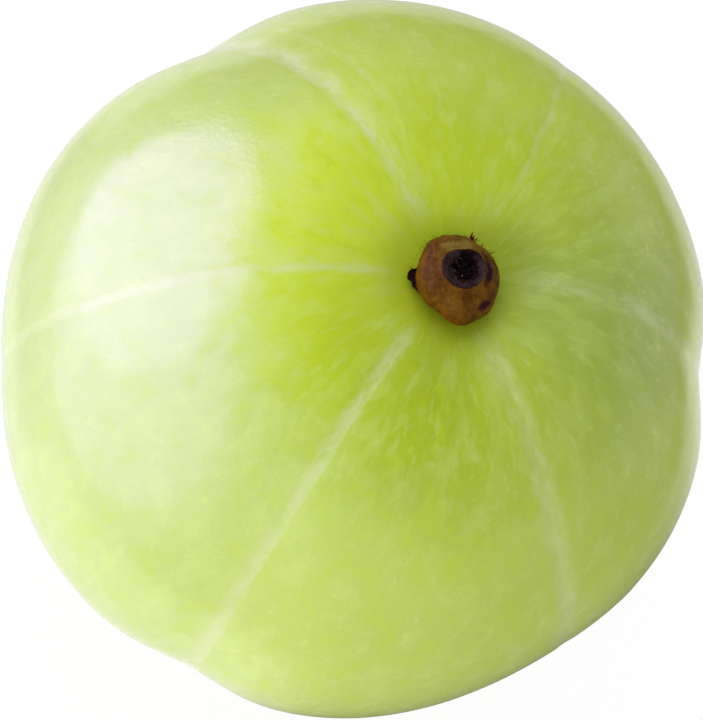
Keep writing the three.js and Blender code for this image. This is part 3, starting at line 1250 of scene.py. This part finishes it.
def mirrored_share(graph):
    """How white each part of the floor looks in the gloss, from 0 to 1."""
    x, y, _ = graph.split(graph.node("ShaderNodeTexCoord", {}, {}, "Object"))
    distance, bearing = graph.around(x, y)
    share = graph.ease(distance, *MIRRORED_ZONE, MIRRORED_LEAST)
    for dark_in_gloss in DARK_IN_GLOSS:
        turned = graph.math("ABSOLUTE", graph.turn(bearing, dark_in_gloss.bearing))
        across = graph.ease(turned, dark_in_gloss.outer, dark_in_gloss.inner)
        out = graph.ease(distance, dark_in_gloss.start - DARK_IN_GLOSS_BLUR, dark_in_gloss.start + DARK_IN_GLOSS_BLUR)
        share = share * (1.0 - across * out * dark_in_gloss.depth)
    return share


def floor_material(stage):
    """Matt board that looks whiter than it lights, and still shows the fruit's shadow.

    The gloss shows its own white on black, so that the darker patches, among them the fruit's painted
    shadow, stay dark there.
    """
    material, g = new_material("pale_floor")
    board = g.node("ShaderNodeBsdfDiffuse", {}, {"Color": rgba(stage.floor_colour)})
    white = g.node("ShaderNodeEmission", {}, {"Strength": stage.floor_white})
    rays = g.node("ShaderNodeLightPath", {}, {}, "Is Camera Ray")
    seen = g.math("MAXIMUM", rays, rays.other("Is Transmission Ray"))
    glossy = rays.other("Is Glossy Ray")
    mirrored = glossy * mirrored_share(g) * stage.floor_mirrored
    share = g.math("MAXIMUM", seen * stage.floor_share, mirrored)
    dark_in_gloss = g.node("ShaderNodeBsdfDiffuse", {}, {"Color": (0.0, 0.0, 0.0, 1.0)})
    unlit = g.node("ShaderNodeMixShader", {}, {"Fac": glossy, 1: board, 2: dark_in_gloss})
    both = g.node("ShaderNodeMixShader", {}, {"Fac": share, 1: unlit, 2: white})
    g.node("ShaderNodeOutputMaterial", {}, {"Surface": both})
    return material


def studio_world(stage):
    """White for the camera. The light is even near the horizon and weaker from the ceiling."""
    world = bpy.data.worlds.new("studio")
    world.use_nodes = True
    g = Graph(world.node_tree)
    rays = g.node("ShaderNodeLightPath", {}, {}, "Is Camera Ray")
    seen = g.math("MAXIMUM", rays, rays.other("Is Transmission Ray"))
    _, _, rise = g.split(g.node("ShaderNodeTexCoord", {}, {}, "Generated"))
    room = g.ease(rise, *CEILING_ZONE, stage.room_light, stage.ceiling_light)
    room = room * (1.0 - rays.other("Is Glossy Ray") * ROOM_DIMMED)
    strength = seen + (1.0 - seen) * room
    backdrop = g.node("ShaderNodeBackground", {}, {"Strength": strength})
    g.node("ShaderNodeOutputWorld", {}, {"Surface": backdrop})
    return world


def build_stage(stage):
    """The floor, the room light, the lamps and the camera."""
    scene = bpy.context.scene
    scene.view_settings.view_transform = "Standard"
    side = stage.floor_size / 2
    corners = [(-side, -side, 0), (side, -side, 0), (side, side, 0), (-side, side, 0)]
    mesh_object("floor", corners, [(0, 1, 2, 3)], floor_material(stage))
    scene.world = studio_world(stage)
    middle = Vector((0, 0, stage.aim_height))
    for setting, box in SOFTBOXES.items():
        place_softbox(box, getattr(stage, setting), (1, 1, 1), middle, gloss_only=False)
    for pane, share in GLOSS_PANES:
        radiance = stage.window_light * share
        place_softbox(pane, radiance, stage.window_colour, middle, gloss_only=True)
    place_camera(stage)


def place_camera(stage):
    """Looks steeply down on the fruit, rolled so that the stalk leans to the upper right."""
    rise, roll = math.radians(stage.camera_elevation), math.radians(stage.camera_roll)
    back = Vector((0, -math.cos(rise), math.sin(rise)))
    level, upright = Vector((1, 0, 0)), Vector((0, math.sin(rise), math.cos(rise)))
    right = level * math.cos(roll) + upright * math.sin(roll)
    up = upright * math.cos(roll) - level * math.sin(roll)
    target = Vector((0, 0, stage.aim_height)) + right * stage.aim_right + up * stage.aim_up
    lens = bpy.data.cameras.new("camera")
    lens.lens = lens.sensor_width * stage.camera_distance / stage.view_height
    lens.clip_start, lens.clip_end = 0.01, 10
    camera = link_object("camera", lens)
    turned = Matrix((right, up, back)).transposed().to_4x4()
    camera.matrix_world = Matrix.Translation(target + back * stage.camera_distance) @ turned
    bpy.context.scene.camera = camera


# ------------------------------------------------------------------------ settings and add-on


def colour_setting(name, description, default):
    return bpy.props.FloatVectorProperty(
        name=name, description=description, default=default, subtype="COLOR", size=3, min=0, max=1
    )


def length_setting(name, description, default):
    return bpy.props.FloatProperty(
        name=name, description=description, default=default, unit="LENGTH", precision=5
    )


def number_setting(name, description, default):
    return bpy.props.FloatProperty(name=name, description=description, default=default)


class FruitSettings(bpy.types.PropertyGroup):
    """Sizes and colours of the fruit."""

    belly_radius: length_setting("Belly radius", "Mean radius at the belly", 18.5 * MM)
    pole_height: length_setting("Pole height", "From the belly to each pole", 16.1 * MM)
    basin_depth: length_setting("Basin depth", "Depth of the stalk basin", 2.6 * MM)
    basin_width: length_setting("Basin width", "Spread of the stalk basin", 5.8 * MM)
    flat_rise: length_setting("Flat rise", "Height of the flat spot above the pole", 0.45 * MM)
    lime: colour_setting("Lime", "Flesh round the stalk", (0.59, 0.75, 0.034))
    # Olive also paints shade near the stalk on one side.
    olive_and_shade: colour_setting("Olive", "Deeper flesh in clouds and at one side", (0.44, 0.57, 0.022))
    # Painted light on the side towards the lamps.
    painted_light: colour_setting("Fresh", "Lightest flesh, at one side of the stalk", (0.72, 0.88, 0.060))
    # Painted sheen of the window, partly milky flesh.
    milk_and_sheen: colour_setting("Milk", "Milky flesh of the side at the window", (0.70, 0.80, 0.52))
    # Painted shade of the shaded side, partly greyer flesh.
    dull_and_shade: colour_setting("Dull", "Greyer flesh of the shaded side", (0.42, 0.53, 0.100))
    belly: colour_setting("Belly", "Flesh from the shoulders down", (0.60, 0.72, 0.145))
    pale: colour_setting("Pale", "Fibres and flecks", (0.76, 0.88, 0.30))
    line: colour_setting("Line", "Septum lines", (0.78, 0.84, 0.50))
    # Painted shade round the stub's foot, partly darker flesh.
    basin: colour_setting("Basin", "Flesh round the stub's foot", (0.50, 0.64, 0.012))
    blossom: colour_setting("Blossom scar", "Dry point at the blossom end", (0.10, 0.05, 0.015))


class StalkSettings(bpy.types.PropertyGroup):
    """Colours of the stalk stub and the dried calyx."""

    bark: colour_setting("Bark", "Main brown", (0.105, 0.037, 0.001))
    tan: colour_setting("Tan", "Paler patches", (0.165, 0.072, 0.004))
    dark_bark: colour_setting("Dark bark", "Darker patches", (0.042, 0.013, 0.001))
    red_bark: colour_setting("Red bark", "Reddish patches", (0.100, 0.020, 0.002))
    shelf: colour_setting("Shelf", "Clean wood beside the scar", (0.220, 0.150, 0.024))
    scar: colour_setting("Scar", "Torn, dried wood", (0.012, 0.004, 0.004))
    # Also paints the highlight along the scar's rim.
    wall: colour_setting("Scar wall", "Smooth violet wall of the scar", (0.044, 0.024, 0.025))
    stain: colour_setting("Stain", "Dark red patches", (0.030, 0.005, 0.008))
    # Painted glints on the bark and in the scar.
    painted_glint: colour_setting("Speck", "Tiny pale grains", (0.60, 0.48, 0.34))
    dry: colour_setting("Calyx", "Dried calyx", (0.007, 0.003, 0.002))
    dry_edge: colour_setting("Calyx edge", "Reddish parts of the calyx", (0.260, 0.066, 0.018))


class StageSettings(bpy.types.PropertyGroup):
    """Floor, lamps and camera."""

    floor_size: length_setting("Floor size", "Side of the square floor", 4.0)
    floor_colour: colour_setting("Floor colour", "Pale board", (0.88, 0.88, 0.88))
    floor_white: number_setting("Floor white", "Brightness of the floor's own white", 1.03)
    floor_share: number_setting("Floor share", "Share of the floor's look that is its own white", 0.92)
    floor_mirrored: number_setting("Floor mirrored", "Share of it that the gloss shows", 0.92)
    room_light: number_setting("Room light", "Strength of the light from the horizon", 0.70)
    ceiling_light: number_setting("Ceiling light", "Strength of the light from overhead", 0.12)
    key_light: number_setting("Key light", "Brightness of the high softbox behind", 1.60)
    side_light: number_setting("Side light", "Brightness of the low softbox at the front", 3.6)
    fill_light: number_setting("Fill light", "Brightness of the low softbox at the right", 0.95)
    window_light: number_setting("Window light", "Brightness of what only the gloss shows", 8.0)
    window_colour: colour_setting("Window colour", "Cool daylight", (0.50, 0.31, 1.0))
    aim_height: length_setting("Aim height", "Height that the camera looks at", 15.65 * MM)
    aim_right: length_setting("Aim right", "Shift of the aim to the right", 0.34 * MM)
    aim_up: length_setting("Aim up", "Shift of the aim upwards", -0.10 * MM)
    camera_distance: length_setting("Distance", "From the fruit's middle", 240.5 * MM)
    view_height: length_setting("View height", "What the view takes in at the fruit", 38.05 * MM)
    camera_elevation: number_setting("Elevation", "Degrees above the horizon", 70.0)
    camera_roll: number_setting("Roll", "Degrees that the camera is rolled to the left", 42.3)


def place_piece(piece, slot, *nodes):
    """Hands a finished piece to the frame, in place of the CAD nodes that it stands for."""
    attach(piece, "root")
    if nodes:
        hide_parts(*nodes)


class GOOSEBERRY_OT_fruit(bpy.types.Operator):
    """Grow the lobed fruit"""

    bl_idname = "gooseberry.fruit"
    bl_label = "Fruit"

    def execute(self, context):
        settings = context.scene.gooseberry_fruit
        sizes = {
            "Segments": FRUIT_SEGMENTS,
            "Rings": FRUIT_RINGS,
            "Belly Radius": settings.belly_radius,
            "Pole Height": settings.pole_height,
            "Basin Depth": settings.basin_depth,
            "Basin Width": settings.basin_width,
            "Flat Rise": settings.flat_rise,
        }
        piece = grow("gooseberry", fruit_shape, sizes, skin_material(settings))
        place_piece(piece, "fruit_skin", "fruit")
        return {"FINISHED"}


class GOOSEBERRY_OT_stub(bpy.types.Operator):
    """Build the stalk stub with its torn scar"""

    bl_idname = "gooseberry.stub"
    bl_label = "Stalk stub"

    def execute(self, context):
        piece = build_stub(bark_material(context.scene.gooseberry_stalk))
        place_piece(piece, "stalk_bark", "stalk_stub")
        return {"FINISHED"}


class GOOSEBERRY_OT_calyx(bpy.types.Operator):
    """Build the dried calyx tips and the bristles round the stub's foot"""

    bl_idname = "gooseberry.calyx"
    bl_label = "Dried calyx"

    def execute(self, context):
        material = calyx_material(context.scene.gooseberry_stalk)
        for tip in CALYX_TIPS:
            place_piece(build_calyx_tip(tip, material), "dried_calyx", tip.node)
        sizes = {
            "Bristles": FRINGE["bristles"],
            "Ring Radius": FRINGE["radius"],
            "Bristle Length": FRINGE["length"],
            "Seed": FRINGE["seed"],
        }
        place_piece(grow("calyx_bristles", fringe_shape, sizes, material), "dried_calyx")
        return {"FINISHED"}


class GOOSEBERRY_OT_stage(bpy.types.Operator):
    """Set up the floor, lamps and camera"""

    bl_idname = "gooseberry.stage"
    bl_label = "Stage"

    def execute(self, context):
        build_stage(context.scene.gooseberry_stage)
        return {"FINISHED"}


OPERATORS = (
    GOOSEBERRY_OT_stage,
    GOOSEBERRY_OT_fruit,
    GOOSEBERRY_OT_stub,
    GOOSEBERRY_OT_calyx,
)
SETTINGS = {
    "gooseberry_fruit": FruitSettings,
    "gooseberry_stalk": StalkSettings,
    "gooseberry_stage": StageSettings,
}


class GOOSEBERRY_PT_sidebar(bpy.types.Panel):
    """Lists the pieces and their settings"""

    bl_idname = "GOOSEBERRY_PT_sidebar"
    bl_label = "Indian Gooseberry"
    bl_space_type = "VIEW_3D"
    bl_region_type = "UI"
    bl_category = "Gooseberry"

    def draw(self, context):
        for operator in OPERATORS:
            self.layout.operator(operator.bl_idname)
        for name, group in SETTINGS.items():
            box = self.layout.box()
            for setting in group.__annotations__:
                box.prop(getattr(context.scene, name), setting)


def register():
    for group in SETTINGS.values():
        bpy.utils.register_class(group)
    for operator in OPERATORS:
        bpy.utils.register_class(operator)
    bpy.utils.register_class(GOOSEBERRY_PT_sidebar)
    for name, group in SETTINGS.items():
        setattr(bpy.types.Scene, name, bpy.props.PointerProperty(type=group))


def unregister():
    for name in SETTINGS:
        delattr(bpy.types.Scene, name)
    bpy.utils.unregister_class(GOOSEBERRY_PT_sidebar)
    for operator in reversed(OPERATORS):
        bpy.utils.unregister_class(operator)
    for group in reversed(SETTINGS.values()):
        bpy.utils.unregister_class(group)


def main():
    register()
    bpy.ops.gooseberry.stage()
    bpy.ops.gooseberry.fruit()
    bpy.ops.gooseberry.stub()
    bpy.ops.gooseberry.calyx()


if __name__ == "__main__":
    main()
